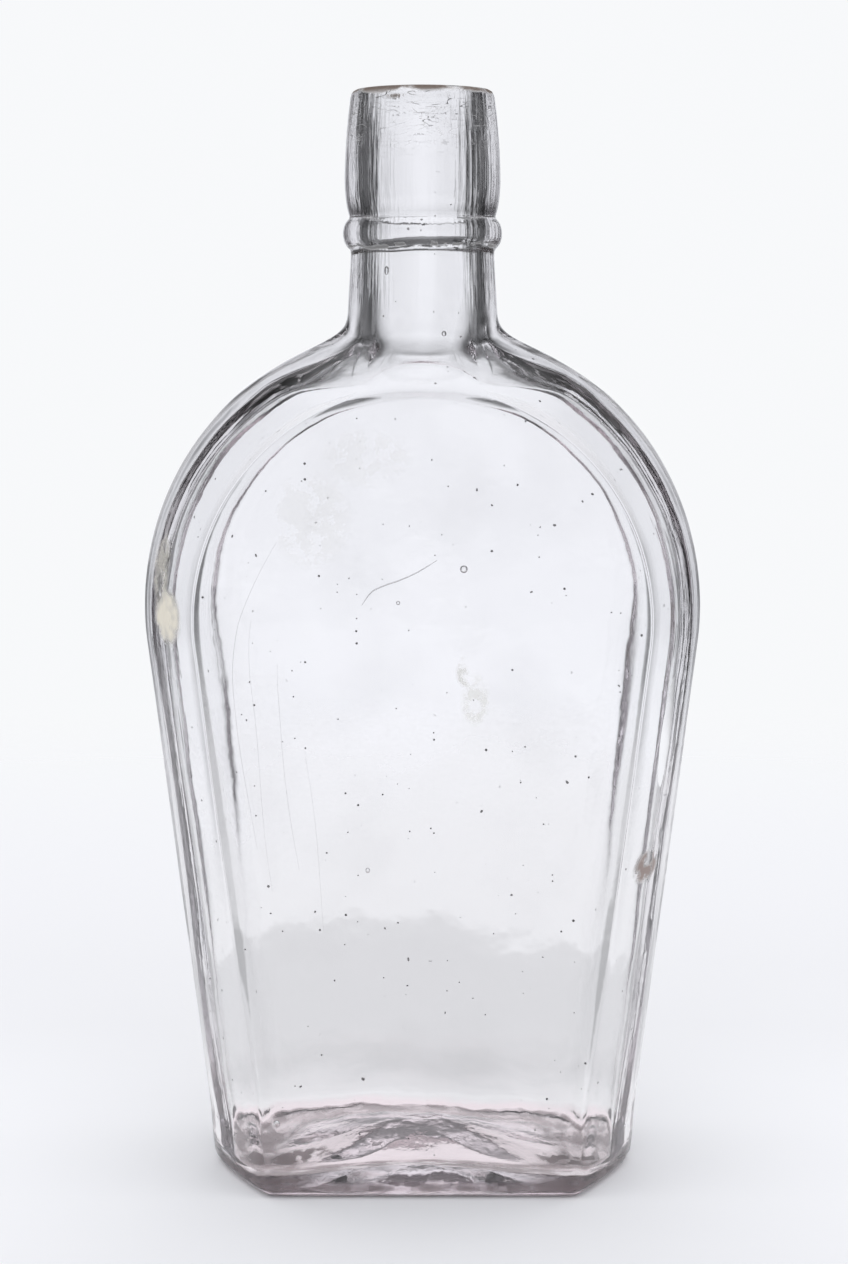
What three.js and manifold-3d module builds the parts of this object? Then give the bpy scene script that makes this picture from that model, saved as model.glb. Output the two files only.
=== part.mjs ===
// Coffin flask: a flat spirit flask of clear glass, standing open and empty.
// The body was blown in a mould: a tapering arch with bevelled sides, a short neck and a thick base.
// The lip, with a ring under it, was laid on the cut end of the neck as a second gather of glass.
// Millimetres, +Z up. The front panel faces -Y. The origin is the middle of the base, where it stands.
import * as THREE from "three";
import { mergeVertices } from "three/addons/utils/BufferGeometryUtils.js";
import Module from "manifold-3d";

// Body seen from the front: straight tapering sides that run into an elliptical shoulder
const BASE_HALF_WIDTH = 39.8;
const SHOULDER_HALF_WIDTH = 52.3;
const SHOULDER_HEIGHT = 107.6;
const SHOULDER_RISE = 53.1;

// Body seen from above: flat panels in front and behind, bulging bevels, narrow side faces
const BODY_DEPTH = 45;
const SIDE_FACE_DEPTH = 5;
const BEVEL_WIDTH = 10.8;
const BEVEL_BULGE = 1.8;

// Glass of the walls, and the hollow that it leaves
const SIDE_WALL = 3.2;
const PANEL_WALL = 3.6;
const INNER_SIDE_FACE_DEPTH = 3;
const INNER_BEVEL_WIDTH = 10;

// Base: a rounded heel, a flat ring to stand on and a push-up, with a domed floor inside
const HEEL_RADIUS = 3.5;
const BEARING_WIDTH = 5;
const PUSH_UP = 4;
const FLOOR_THICKNESS = 5.5;
const FLOOR_HEEL_RADIUS = 6;
const FLOOR_EDGE_WIDTH = 2;
const FLOOR_DOME = 5;

// Neck, from the shoulder's crown up to the face that carries the lip
const NECK_LENGTH = 13.4;
const NECK_FOOT_RADIUS = 13.9;
const NECK_TOP_RADIUS = 13.2;
const NECK_FLARE = 6;
const BORE_RADIUS = 9.8;

// Lip, with a ring under it
const RING_HEIGHT = 6;
const RING_RADIUS = 14.6;
const GROOVE_RADIUS = 13.4;
const LIP_HEIGHT = 22.9;
const LIP_SWELL_RADIUS = 14.3;
const LIP_SWELL_HEIGHT = 5;
const LIP_TOP_RADIUS = 13.2;
const RIM_ROUND = 1.4;
const MOUTH_ROUND = 0.9;

// How finely the round forms are divided
const BEVEL_STEPS = 5;
const SHOULDER_STEPS = 16;
const HEEL_STEPS = 3;
const DOME_STEPS = 3;
const TURN_STEPS = 40;
const PROFILE_STEPS = 3;

// The bore's cutter runs past the end of the neck by this much
const CUT_MARGIN = 1;
const MERGE_DISTANCE = 1e-4;

// Places that follow from the sizes above
const QUARTER_TURN = Math.PI / 2;
const CROWN_Z = SHOULDER_HEIGHT + SHOULDER_RISE;
const SEAT_Z = CROWN_Z + NECK_LENGTH;
const LIP_BASE_Z = SEAT_Z + RING_HEIGHT;
const RIM_Z = LIP_BASE_Z + LIP_HEIGHT;
const NECK_ROOT_Z = CROWN_Z - BEVEL_WIDTH;
const BORE_ROOT_Z = CROWN_Z - SIDE_WALL - INNER_BEVEL_WIDTH;

const wasm = await Module();
wasm.setup();

// A closed geometry as a solid that can be joined and cut
function solidOf(geometry) {
  const bare = geometry.clone();
  bare.deleteAttribute("normal");
  bare.deleteAttribute("uv");
  const merged = mergeVertices(bare, MERGE_DISTANCE);
  return new wasm.Manifold(
    new wasm.Mesh({
      numProp: 3,
      vertProperties: merged.attributes.position.array,
      triVerts: new Uint32Array(merged.index.array),
    }),
  );
}

function geometryOf(solid) {
  const made = solid.getMesh();
  const geometry = new THREE.BufferGeometry();
  geometry.setAttribute("position", new THREE.BufferAttribute(made.vertProperties, made.numProp));
  geometry.setIndex(new THREE.BufferAttribute(made.triVerts, 1));
  geometry.computeVertexNormals();
  return geometry;
}

// A solid of revolution about +Z, from a profile of radius and height
function turned(points) {
  return new THREE.LatheGeometry(points, TURN_STEPS).rotateX(QUARTER_TURN);
}

// The angle on the shoulder's ellipse where the straight side touches it
function tangentAngle() {
  const drop = SHOULDER_HEIGHT * (SHOULDER_HALF_WIDTH / SHOULDER_RISE);
  const reach = Math.hypot(BASE_HALF_WIDTH, drop);
  return Math.acos(SHOULDER_HALF_WIDTH / reach) - Math.atan2(drop, BASE_HALF_WIDTH);
}

// A point on the shoulder, moved inwards from the outline by an offset
function shoulderPoint(angle, offset) {
  const onEllipse = new THREE.Vector2(
    SHOULDER_HALF_WIDTH * Math.cos(angle),
    SHOULDER_RISE * Math.sin(angle),
  );
  const outward = new THREE.Vector2(
    SHOULDER_RISE * Math.cos(angle),
    SHOULDER_HALF_WIDTH * Math.sin(angle),
  ).normalize();
  return onEllipse.addScaledVector(outward, -offset).add(new THREE.Vector2(0, SHOULDER_HEIGHT));
}

// A point on the straight side at a height, moved inwards from the outline by an offset
function sidePoint(height, offset) {
  const touch = shoulderPoint(tangentAngle(), 0);
  const slope = (touch.x - BASE_HALF_WIDTH) / touch.y;
  const x = BASE_HALF_WIDTH + slope * height - offset * Math.hypot(1, slope);
  return new THREE.Vector2(x, height);
}

// The bevel seen from above, from a side face to a panel: how far in from the outline, at which depth
function bevelLevels(offset, faceDepth, width, bodyDepth) {
  const side = new THREE.Vector2(offset, faceDepth / 2);
  const panel = new THREE.Vector2(offset + width, bodyDepth / 2);
  const chord = panel.clone().sub(side).normalize();
  const crest = side.clone().lerp(panel, 0.5);
  crest.add(new THREE.Vector2(-chord.y, chord.x).multiplyScalar(2 * BEVEL_BULGE));
  const half = new THREE.QuadraticBezierCurve(side, crest, panel).getPoints(BEVEL_STEPS);
  const front = half.map((p) => new THREE.Vector2(p.x, -p.y)).reverse();
  return [...front, ...half];
}

// A closed ring round the body: up the right-hand levels from front to back, then back on the left
function bodyRing(levels, place) {
  const right = levels.map((level) => {
    const p = place(level.x);
    return new THREE.Vector3(p.x, level.y, p.y);
  });
  const left = right.map((p) => new THREE.Vector3(-p.x, p.y, p.z)).reverse();
  return [...right, ...left];
}

// A level ring drawn in by a distance, all along its outline, and set at a height
function insetRing(ring, distance, height) {
  const outward = ring.map((p, i) => {
    const next = ring[(i + 1) % ring.length];
    return new THREE.Vector2(next.y - p.y, p.x - next.x).normalize();
  });
  return ring.map((p, i) => {
    const before = outward[(i + ring.length - 1) % ring.length];
    const corner = before.clone().add(outward[i]);
    corner.multiplyScalar(distance / (1 + before.dot(outward[i])));
    return new THREE.Vector3(p.x - corner.x, p.y - corner.y, height);
  });
}

// Rings of a foot under a wall: a dome, a flat ring round it and the rounded heel
function footRings(wallRing, foot) {
  const land = insetRing(wallRing, foot.heel + foot.flat, foot.height);
  const rings = [];
  for (let i = 1; i <= DOME_STEPS; i++) {
    const share = i / DOME_STEPS;
    const height = foot.height + foot.rise * (1 - share * share);
    rings.push(land.map((p) => new THREE.Vector3(p.x * share, p.y * share, height)));
  }
  for (let i = 0; i < HEEL_STEPS; i++) {
    const angle = (i / HEEL_STEPS) * QUARTER_TURN;
    const height = foot.height + foot.heel * (1 - Math.cos(angle));
    rings.push(insetRing(wallRing, foot.heel * (1 - Math.sin(angle)), height));
  }
  return rings;
}

// Rings of the arch, from where the straight side ends to just short of the crown
function shoulderRings(levels) {
  const first = tangentAngle();
  const step = (QUARTER_TURN - first) / (SHOULDER_STEPS + 0.5);
  const rings = [];
  for (let i = 0; i <= SHOULDER_STEPS; i++) {
    rings.push(bodyRing(levels, (offset) => shoulderPoint(first + i * step, offset)));
  }
  return rings;
}

// A closed skin through the rings, with a point under the first and the last one zipped shut
function loft(bottom, rings) {
  const count = rings[0].length;
  const vertices = [bottom, ...rings.flat()];
  const faces = [];
  for (let i = 0; i < count; i++) {
    const next = (i + 1) % count;
    faces.push(0, 1 + next, 1 + i);
    for (let r = 0; r < rings.length - 1; r++) {
      const low = 1 + r * count;
      const high = low + count;
      faces.push(low + i, low + next, high + next);
      faces.push(low + i, high + next, high + i);
    }
  }
  const top = 1 + (rings.length - 1) * count;
  for (let i = 0; i < count / 2 - 1; i++) {
    const across = count - 1 - i;
    faces.push(top + i, top + i + 1, top + across - 1);
    faces.push(top + i, top + across - 1, top + across);
  }
  const geometry = new THREE.BufferGeometry().setFromPoints(vertices);
  geometry.setIndex(faces);
  return geometry;
}

// The body's form below the neck, as a solid: the outside of the glass, or the hollow inside it
function bodyForm(levels, foot) {
  const wallRing = bodyRing(levels, (offset) => sidePoint(foot.height + foot.heel, offset));
  const bottom = new THREE.Vector3(0, 0, foot.height + foot.rise);
  return solidOf(loft(bottom, [...footRings(wallRing, foot), wallRing, ...shoulderRings(levels)]));
}

function outerForm() {
  const levels = bevelLevels(0, SIDE_FACE_DEPTH, BEVEL_WIDTH, BODY_DEPTH);
  const foot = { height: 0, heel: HEEL_RADIUS, flat: BEARING_WIDTH, rise: PUSH_UP };
  return bodyForm(levels, foot);
}

function hollowForm() {
  const depth = BODY_DEPTH - 2 * PANEL_WALL;
  const levels = bevelLevels(SIDE_WALL, INNER_SIDE_FACE_DEPTH, INNER_BEVEL_WIDTH, depth);
  const foot = {
    height: FLOOR_THICKNESS,
    heel: FLOOR_HEEL_RADIUS,
    flat: FLOOR_EDGE_WIDTH,
    rise: FLOOR_DOME,
  };
  return bodyForm(levels, foot);
}

// The neck's outside, with a flare that spreads down into the shoulder
function neckForm() {
  const profile = new THREE.Path();
  profile.moveTo(0, NECK_ROOT_Z);
  profile.lineTo(NECK_FOOT_RADIUS + NECK_FLARE, NECK_ROOT_Z);
  profile.quadraticCurveTo(NECK_FOOT_RADIUS, NECK_ROOT_Z, NECK_FOOT_RADIUS, CROWN_Z);
  profile.lineTo(NECK_TOP_RADIUS, SEAT_Z);
  profile.lineTo(0, SEAT_Z);
  return solidOf(turned(profile.getPoints(PROFILE_STEPS)));
}

function boreForm() {
  const profile = new THREE.Path();
  profile.moveTo(0, BORE_ROOT_Z);
  profile.lineTo(BORE_RADIUS, BORE_ROOT_Z);
  profile.lineTo(BORE_RADIUS, SEAT_Z + CUT_MARGIN);
  profile.lineTo(0, SEAT_Z + CUT_MARGIN);
  return solidOf(turned(profile.getPoints(PROFILE_STEPS)));
}

function flaskBody(material) {
  const outside = outerForm().add(neckForm());
  const hollow = hollowForm().add(boreForm());
  const mesh = new THREE.Mesh(geometryOf(outside.subtract(hollow)), material);
  mesh.name = "flask_body";
  return mesh;
}

// The lip's section: its seat on the neck, the ring, the groove, the swelling lip and the rounded rim
function appliedLip(material) {
  const swellZ = LIP_BASE_Z + LIP_SWELL_HEIGHT;
  const shoulderZ = RIM_Z - RIM_ROUND;
  const profile = new THREE.Path();
  profile.moveTo(BORE_RADIUS, SEAT_Z);
  profile.lineTo(GROOVE_RADIUS, SEAT_Z);
  profile.absellipse(
    GROOVE_RADIUS,
    SEAT_Z + RING_HEIGHT / 2,
    RING_RADIUS - GROOVE_RADIUS,
    RING_HEIGHT / 2,
    -QUARTER_TURN,
    QUARTER_TURN,
    false,
  );
  profile.quadraticCurveTo(LIP_SWELL_RADIUS, LIP_BASE_Z, LIP_SWELL_RADIUS, swellZ);
  profile.quadraticCurveTo(LIP_SWELL_RADIUS, (swellZ + shoulderZ) / 2, LIP_TOP_RADIUS, shoulderZ);
  profile.absarc(LIP_TOP_RADIUS - RIM_ROUND, shoulderZ, RIM_ROUND, 0, QUARTER_TURN, false);
  profile.absarc(
    BORE_RADIUS + MOUTH_ROUND,
    RIM_Z - MOUTH_ROUND,
    MOUTH_ROUND,
    QUARTER_TURN,
    2 * QUARTER_TURN,
    false,
  );
  profile.lineTo(BORE_RADIUS, SEAT_Z);
  const mesh = new THREE.Mesh(turned(profile.getPoints(PROFILE_STEPS)), material);
  mesh.name = "applied_lip";
  return mesh;
}

// Clear glass with a faint amethyst cast
function clearGlass(color, opacity) {
  return new THREE.MeshStandardMaterial({
    color,
    roughness: 0.06,
    metalness: 0,
    transparent: true,
    opacity,
  });
}

const flask = new THREE.Group();
flask.add(flaskBody(clearGlass(0xe6dfe3, 0.35)));
flask.add(appliedLip(clearGlass(0xded6da, 0.4)));

export default flask;
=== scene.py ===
import math

import bpy
import numpy as np
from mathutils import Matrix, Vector


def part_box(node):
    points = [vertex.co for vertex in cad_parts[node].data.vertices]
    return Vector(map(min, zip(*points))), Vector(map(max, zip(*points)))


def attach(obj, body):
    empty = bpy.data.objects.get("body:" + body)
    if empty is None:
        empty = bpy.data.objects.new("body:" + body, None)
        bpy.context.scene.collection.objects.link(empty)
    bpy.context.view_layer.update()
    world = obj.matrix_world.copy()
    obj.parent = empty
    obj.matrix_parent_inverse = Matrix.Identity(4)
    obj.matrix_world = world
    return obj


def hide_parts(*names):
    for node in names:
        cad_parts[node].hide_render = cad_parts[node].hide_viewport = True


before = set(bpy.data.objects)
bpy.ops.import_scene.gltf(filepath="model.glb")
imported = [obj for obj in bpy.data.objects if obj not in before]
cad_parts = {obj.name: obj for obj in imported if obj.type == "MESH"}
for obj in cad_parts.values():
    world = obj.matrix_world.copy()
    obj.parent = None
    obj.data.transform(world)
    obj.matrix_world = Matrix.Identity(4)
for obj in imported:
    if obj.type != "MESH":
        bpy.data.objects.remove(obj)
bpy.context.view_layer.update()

# Lengths of the glass are in millimetres, and become metres when the mesh is made
MM = 0.001
BODY_TOP = np.array(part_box("flask_body")[1]) / MM
LIP_FOOT = np.array(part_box("applied_lip")[0]) / MM
LIP_TOP = np.array(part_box("applied_lip")[1]) / MM

# Outline seen from the front: straight sides that run into an elliptic shoulder
BASE_HALF_WIDTH = 39.8
SHOULDER_HALF_WIDTH = float(BODY_TOP[0])
SHOULDER_Z = 107.6
SHOULDER_RISE = 53.1
CROWN_Z = SHOULDER_Z + SHOULDER_RISE
HALF_DEPTH = float(BODY_TOP[1])
TOUCH_BLEND = 4.0
LEAST_SLOPE = 0.5 / SHOULDER_RISE

# Section seen from above, outside and inside the glass: its sizes, and how soft its creases are
PANEL_WALL = 3.5
OUTER = {
    "wall": 0.0, "crown": 0.0, "face": 2.0, "round": 1.8, "bevel": 11.0, "depth": HALF_DEPTH,
    "bulge": 0.7, "soften": 0.28, "relax": 4.5, "back": 5.0,
}
INNER = {
    "wall": 3.15, "crown": 3.4, "face": 2.5, "round": 2.0, "bevel": 8.35, "depth": HALF_DEPTH - PANEL_WALL,
    "bulge": 2.5, "soften": 1.15, "relax": 1.0, "back": 2.0,
}
RELAX_Z = (15.0, 85.0)

# Heel, push-up and inner floor
HEEL_RADIUS = 2.2
HEEL_FLARE = 0.009
HEEL_FLARE_Z = 3.0
HEEL_FLARE_HEIGHT = 5.0
BEARING_WIDTH = 5.0
PUSH_UP = 3.4
FLOOR_Z = 1.8
FLOOR_HEEL = 3.2
FLOOR_LAND = 1.0
FLOOR_RISE = 3.2
FLOOR_ARCH = 2.6
FLOOR_ARCH_WIDTH = 24.0
FLOOR_ARCH_Z = (6.0, 30.0)

# The walls grow thicker towards the base in the middle of the panels
LEAN = 0.8
LEAN_Z = (22.0, 72.0)
LEAN_WIDTH = 30.0

# Neck and bore, and the thicker glass round the foot of the neck
NECK_RADIUS = 13.85
NECK_TAPER = 0.06
NECK_TAPER_REACH = 8.0
NECK_FILLET = 1.2
NECK_FLARE = 1.6
BORE_RADIUS = 9.8
BORE_FILLET = 5.5
CROWN_REACH = 11.5
CROWN_WIDTH = 6.0
CROWN_THICK_Z = (144.0, CROWN_Z - 6)
BLEND_Z = (147.0, 155.0)
BLEND_RATE = 0.5
BLEND_ROUNDS = 60

# Ring and lip
SEAT_Z = float(LIP_FOOT[2])
SEAT_DROP = 1.0
RIM_Z = float(LIP_TOP[2])
RIM_RADIUS = 13.2
RIM_ROUND = 1.4
MOUTH_ROUND = 1.0
RING_RADIUS = float(LIP_TOP[0])
RING_RISE = 2.9
RING_INSET = 1.5
RING_BULGE = (1.55, 2.8)
RING_TURN = 1.45
GROOVE_RADIUS = 13.4
GROOVE_RISE = 6.0
LIP_RADIUS = 14.3
LIP_SWELL = (0.1, 2.2)
SWELL_RISE = 6.0

# Ragged seat of the lip: it is lifted in front, more so on the right
SEAT_LIFT = 0.7
SEAT_TILT = 0.5
SEAT_HEIGHT = 1.6

# Heights of the body's rings: bounds of each stretch, and how many rings it has
NECK_JOIN_Z = 163.0
BORE_JOIN_Z = 166.0
OUTER_BOUNDS = (HEEL_RADIUS, 98.0, 146.0, NECK_JOIN_Z)
OUTER_COUNTS = (44, 50, 40)
INNER_BOUNDS = (FLOOR_Z + FLOOR_HEEL, 98.0, 138.0, BORE_JOIN_Z)
INNER_COUNTS = (40, 36, 36)

# Steps over heel and dome of a foot, outside and inside
OUTER_FOOT_STEPS = (7, 12)
INNER_FOOT_STEPS = (9, 16)

# Steps round one quarter of a ring: the edge steps end where the bevel meets the panel
NECK_ANGLE = math.radians(42)
NECK_EASE_Z = (146.0, 158.0)
WIDEST_ANGLE = math.radians(62)
EDGE_STEPS = 38
PANEL_STEPS = 18
STEP_SPREAD = 1.8
EDGE_EASE = 0.6

# Steps of the lip's profile: drawn finely, blurred over some fine steps, then thinned out
ARC_STEPS = 40
CURVE_STEPS = 60
FINE_STEP = 0.05
BLUR_STEPS = 6
BLUR_REACH = 3
PROFILE_STEP = 0.6

# Halvings of a search, and what keeps a division from zero
HALVINGS = 36
TINY = 1e-9

# Random waves of blown glass: height, seed, number, shortest, longest, stretch along the third axis
SEAT_WAVES = (0.12, 29, 20, 3.0, 9.0, 1.0)
OUTSIDE_WAVES = (0.05, 3, 24, 7.0, 30.0, 2.0)
INSIDE_SWELLS = (0.4, 5, 14, 25.0, 70.0, 1.2)
INSIDE_WAVES = (0.06, 8, 30, 6.0, 16.0, 1.5)
BASE_WAVES = (0.08, 17, 30, 4.0, 13.0, 1.0)
STREAK_WAVES = (1.0, 11, 40, 3.0, 12.0, 6.0)
PATCH_WAVES = (1.0, 31, 12, 18.0, 60.0, 2.5)

# Flow of the glass: round a middle low in the body, and straight up the neck
FLOW_MIDDLE_Z = 60.0
FLOW_RADIUS = 70.0
NECK_FLOW_Z = (CROWN_Z - 8, CROWN_Z + 2)

# Streaks: where they lie, and their height on bevels and neck, outside and inside
BEVEL_STREAK_OFFSET = (8.0, 14.0)
BEVEL_STREAK_TOP_Z = (CROWN_Z - 14, CROWN_Z - 7)
BEVEL_STREAK_FOOT_Z = (50.0, 95.0)
BEVEL_STREAK_FOOT = 0.3
NECK_STREAK_Z = (CROWN_Z, CROWN_Z + 7)
PATCH_RANGE = (0.2, 1.3)
PATCH_LEAST = 0.15
OUTSIDE_STREAKS = (0.04, 0.01)
INSIDE_STREAKS = (0.15, 0.05)

# Where the waves die down: at the foot, at the rim, and in the middle under the neck
CALM_FOOT_Z = (1.0, 10.0)
CALM_RIM = 0.8
CALM_RIM_Z = (RIM_Z - 5, RIM_Z)
CALM_CROWN = 0.7
CALM_CROWN_Z = CROWN_Z - 6
CALM_CROWN_HEIGHT = 7.0
CALM_CROWN_WIDTH = 24.0

# Where the base is wavy: low down, on level glass, and outside only on the push-up
BASE_WAVE_Z = (7.0, 18.0)
BASE_WAVE_LEVEL = (0.3, 0.8)
PUSH_UP_WAVE_Z = (0.4, 2.0)

# What the glass material reads: how streaky a place is, and how much it belongs to the foot
STREAKY_BEVEL = 0.65
STREAKY_Z = (4.0, 14.0)
FOOT_LEVEL = (0.45, 0.9)
FOOT_Z = (8.0, 14.0)
HEEL_Z = (2.0, 5.0)

# Bubbles in the front wall and the neck: x, y, z, radius, stretch
HOLLOW_DEPTH = 1.8
WALL_MIDDLE = HOLLOW_DEPTH - HALF_DEPTH
BUBBLES = (
    (7.4, WALL_MIDDLE, 117.2, 0.68, 1.0),
    (-4.4, WALL_MIDDLE, 111.1, 0.36, 1.0),
    (-27.0, WALL_MIDDLE, 14.0, 0.62, 1.1),
    (-10.0, WALL_MIDDLE, 62.0, 0.4, 1.2),
    (3.7, -11.7, 158.9, 0.42, 1.2),
    (-6.2, -9.9, 170.2, 0.42, 1.9),
)
BUBBLE_FLATNESS = 0.4
LARGE_BUBBLE = 0.3
LARGE_FACETS = (18, 10)
SMALL_FACETS = (10, 6)

# Seeds: small bubbles scattered over both panels
SEED_COUNT = 44
SEED_RANDOM = 21
SEED_Z = (16, 146)
SEED_HALF_WIDTH = 18.0
SEED_WIDENING = 0.12
SEED_FRONT_SHARE = 0.6
SEED_DEPTH = (1.2, 2.4)
SEED_RADIUS = (0.06, 0.16)
SEED_STRETCH = (1, 1.5)

# A drawn crease in the front wall, as x and z
CREASE = ((-10.9, 110.7), (-9.1, 113.1), (-6.7, 114.3), (-4.1, 115.2), (-0.8, 116.7), (2.6, 118.8))
CREASE_STEPS = 6
CREASE_RADIUS = 0.11

# Lines of drawn air along the left side: distance from the side, lowest z, highest z, radius
FLOW_LINES = (
    (17.0, 66, 122, 0.030),
    (19.5, 58, 108, 0.024),
    (24.5, 62, 100, 0.028),
    (28.0, 50, 84, 0.022),
)
FLOW_LINE_STEPS = 24
FLOW_LINE_SWAY = 0.5
FLOW_LINE_SWAY_Z = 9.0
FLOW_LINE_BEND = 0.012
FLOW_LINE_BEND_Z = 95.0
LINE_SIDES = 6
LINE_END = 0.12

# Deposits and haze on the glass: middle and size in millimetres, colour, cover, share that is solid
STAINS = (
    ((-46.8, -14.0, 107.5), (5.2, 10.0, 7.0), (0.78, 0.73, 0.61), 0.88, 0.7),
    ((-48.0, -10.0, 116.0), (3.4, 7.0, 10.0), (0.60, 0.54, 0.40), 0.45, 0.3),
    ((9.5, -22.0, 93.5), (3.8, 3.0, 6.5), (0.46, 0.46, 0.37), 0.38, 0.35),
    ((7.2, -22.0, 98.5), (1.6, 3.0, 4.2), (0.34, 0.33, 0.26), 0.45, 0.3),
    ((41.0, -13.0, 61.0), (5.5, 8.0, 4.6), (0.20, 0.105, 0.075), 0.80, 0.25),
    ((-20.0, -22.0, 126.0), (10.0, 4.0, 12.0), (0.45, 0.45, 0.43), 0.22, 0.0),
    ((-10.0, -22.0, 137.0), (11.0, 4.0, 7.0), (0.45, 0.45, 0.43), 0.18, 0.0),
    ((-24.0, -8.0, 4.0), (11.0, 6.0, 4.5), (0.26, 0.14, 0.14), 0.60, 0.0),
    ((27.0, -8.0, 3.5), (8.0, 6.0, 4.5), (0.22, 0.12, 0.12), 0.65, 0.0),
)

# Colours of the glass and of what lies on it
WHITE = (1, 1, 1, 1)
BLACK = (0, 0, 0, 1)
RESIDUE = (0.09, 0.045, 0.022)
DIRT = (0.05, 0.045, 0.045)
FILM = (0.55, 0.55, 0.56)
# Dark reddish colour of the band along the very bottom of the glass, where it stands on the floor
BOTTOM_BAND = (0.17, 0.085, 0.085)
BASE_TINT = (0.985, 0.885, 0.905, 1)
CAST = (0.74, 0.63, 0.70, 1)
CAST_DENSITY = 8.0
GLASS_IOR = 1.5

# Random fields of the glass: scale per metre, detail, stretch along each axis
EVEN = (1, 1, 1)
COARSE_NOISE = (150, 4, EVEN)
FINE_NOISE = (420, 3, EVEN)
FILM_NOISE = (38, 3, EVEN)
MARK_NOISE = (130, 2, (1, 1, 3))
STREAK_NOISE = (1100, 2, (1, 1, 0.035))
RIPPLE_NOISE = (170, 2, EVEN)
ROUGH_NOISE = (800, 2, EVEN)
NOISE_MIDDLE = 0.5

# Smooth steps of the glass: where each starts and ends, then its level before and after
SPOT_EDGE = (0.35, 1.0, 1.0, 0.0)
STAIN_EDGE = (0.12, 0.9)
GRAIN_FINE = (0.38, 0.62, 0.0, 0.8)
GRAIN_COARSE = (0.4, 0.6, 0.0, 0.5)
FILM_STEP = (0.48, 0.75, 0.0, 0.04)
CRUST_Z = ((RIM_Z - 2.2) * MM, (RIM_Z - 0.4) * MM)
CRUST_STEP = (0.6, 1.0, 0.0, 0.92)
SEAT_LINE_STEP = (0.0001, 0.0005, 1.0, 0.0)
SEAT_LINE_GRAIN = (0.46, 0.52)
MARK_Z = ((RIM_Z - 14) * MM, (RIM_Z - 2) * MM)
MARK_STEP = (0.002, 0.010, 1.0, 0.0)
MARK_GRAIN = (0.46, 0.56)
BOTTOM_BAND_Z = (0.0002, 0.0008, 0.5, 0.0)
BOTTOM_BAND_GRAIN = (0.36, 0.56, 0.35, 1.0)
ROUGHNESS_STEP = (0.2, 0.9, 0.6, 0.0)

# Other values of what lies on the glass
CRUST_SPREAD = 2.2
SEAT_LINE_Z = (SEAT_Z + 0.5) * MM
SEAT_LINE_WANDER = 0.003
SEAT_LINE_COVER = 0.8
MARK_COVER = 0.75
SPECK_SCALE = 430.0
SPECK_WIDTH = (0.05, 0.11)
SPECK_LEAST = 0.86
SPECK_COVER = 0.8

# Relief of the glass: strength, as a range where it varies, and height in metres
STREAK_STRENGTH = (0.01, 0.24)
STREAK_HEIGHT = 0.0004
RIPPLE_STRENGTH = 0.18
RIPPLE_HEIGHT = 0.0004
ROUGH_STRENGTH = (0.0, 0.14)
ROUGH_HEIGHT = 0.0003

# Studio: white screens in front, behind and at the sides, as brightness by turn from front to side
SCREENS = (
    (0.0, 1.0), (0.13, 0.97), (0.153, 0.9), (0.195, 0.78), (0.27, 0.48), (0.335, 0.24),
    (0.4, 0.1), (0.5, 0.05), (0.78, 0.03), (0.87, 0.5), (0.93, 1.0),
)
SCREEN_TOP = (0.14, 0.42, 1.0, 0.15)
CEILING = (0.62, 0.85)
FRONT_SCREEN = (-0.4, 0.1, 0.65, 1.0)
STUDIO_WHITE = (0.92, 0.935, 0.985, 1)
BACKDROP_WHITE = (0.935, 0.945, 0.96, 1)
LAMP_WHITE = (1.11, 1.11, 1.12, 1)

# Stage floor, in metres: a pale disc that fades out at its edge
STAGE_CENTRE = (0, -0.4, 0)
STAGE_RADIUS = 0.95
STAGE_DROP = 0.0002
STAGE_STEPS = 96
STAGE_TINT = (0.96, 0.968, 1, 1)
STAGE_FADE = (0.64 * STAGE_RADIUS, 0.98 * STAGE_RADIUS)

# Painted light and shade on the stage floor, as its brightness by distance from the flask, seen in the
# open and through glass: in the open it is lighter near the flask, which lifts the flask's shadow; through
# glass it is painted bright under the flask and painted dark farther out
STAGE_SQUEEZE = (0.33, 1, 1)
STAGE_OPEN = ((0.0, 0.96), (0.05, 0.93), (0.09, 0.88), (0.14, 0.86), (0.2, 0.86))
STAGE_THROUGH = (
    (0.0, 1.0), (0.03, 0.98), (0.055, 0.76), (0.15, 0.72),
    (0.17, 0.74), (0.182, 0.87), (0.3, 0.87), (0.6, 0.95),
)
# Painted glow: share of the floor that emits light for rays through glass, most under the flask
STAGE_GLOW = (0.025, 0.05, 0.95, 0.6)

# Painted shade on the stage floor, seen through glass: away from the screens, beside the flask, seen
# steeply
SCREENED_STEP = (0.1, 0.9, 0.25, 0.0)
SCREENED_REACH = (0.13, 0.22)
BESIDE_STEP = (0.045, 0.062, 0.0, 0.36)
BESIDE_REACH = (0.15, 0.19, 1.0, 0.1)
STEEP_STEP = (0.25, 0.55, 0.8, 0.0)
STEEP_REACH = (0.025, 0.045)

# Camera, in metres, with lens and sensor in millimetres
EYE = Vector((0.00026, -0.45, 0.1653))
AIM = Vector((0.00026, 0, 0.1029))
LENS = 68.58
SENSOR_HEIGHT = 36

# Bounces of light: as many as the walls of the flask need
GLASS_BOUNCES = 28
OTHER_BOUNCES = 16


def smooth_step(low, high, value):
    t = np.clip((value - low) / (high - low), 0, 1)
    return t * t * (3 - 2 * t)


def bell(value, middle, width):
    return np.exp(-(((value - middle) / width) ** 2))


def soft_min(a, b, width):
    share = np.clip(0.5 + 0.5 * (b - a) / width, 0, 1)
    return b + (a - b) * share - width * share * (1 - share)


def soft_max(a, b, width):
    return -soft_min(-a, -b, width)


def farthest(inside, reach):
    """The largest values between 0 and a reach that still lie inside, found by halving."""
    low = np.zeros_like(reach)
    high = reach
    for _ in range(HALVINGS):
        middle = (low + high) / 2
        good = inside(middle)
        low = np.where(good, middle, low)
        high = np.where(good, high, middle)
    return low


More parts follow.
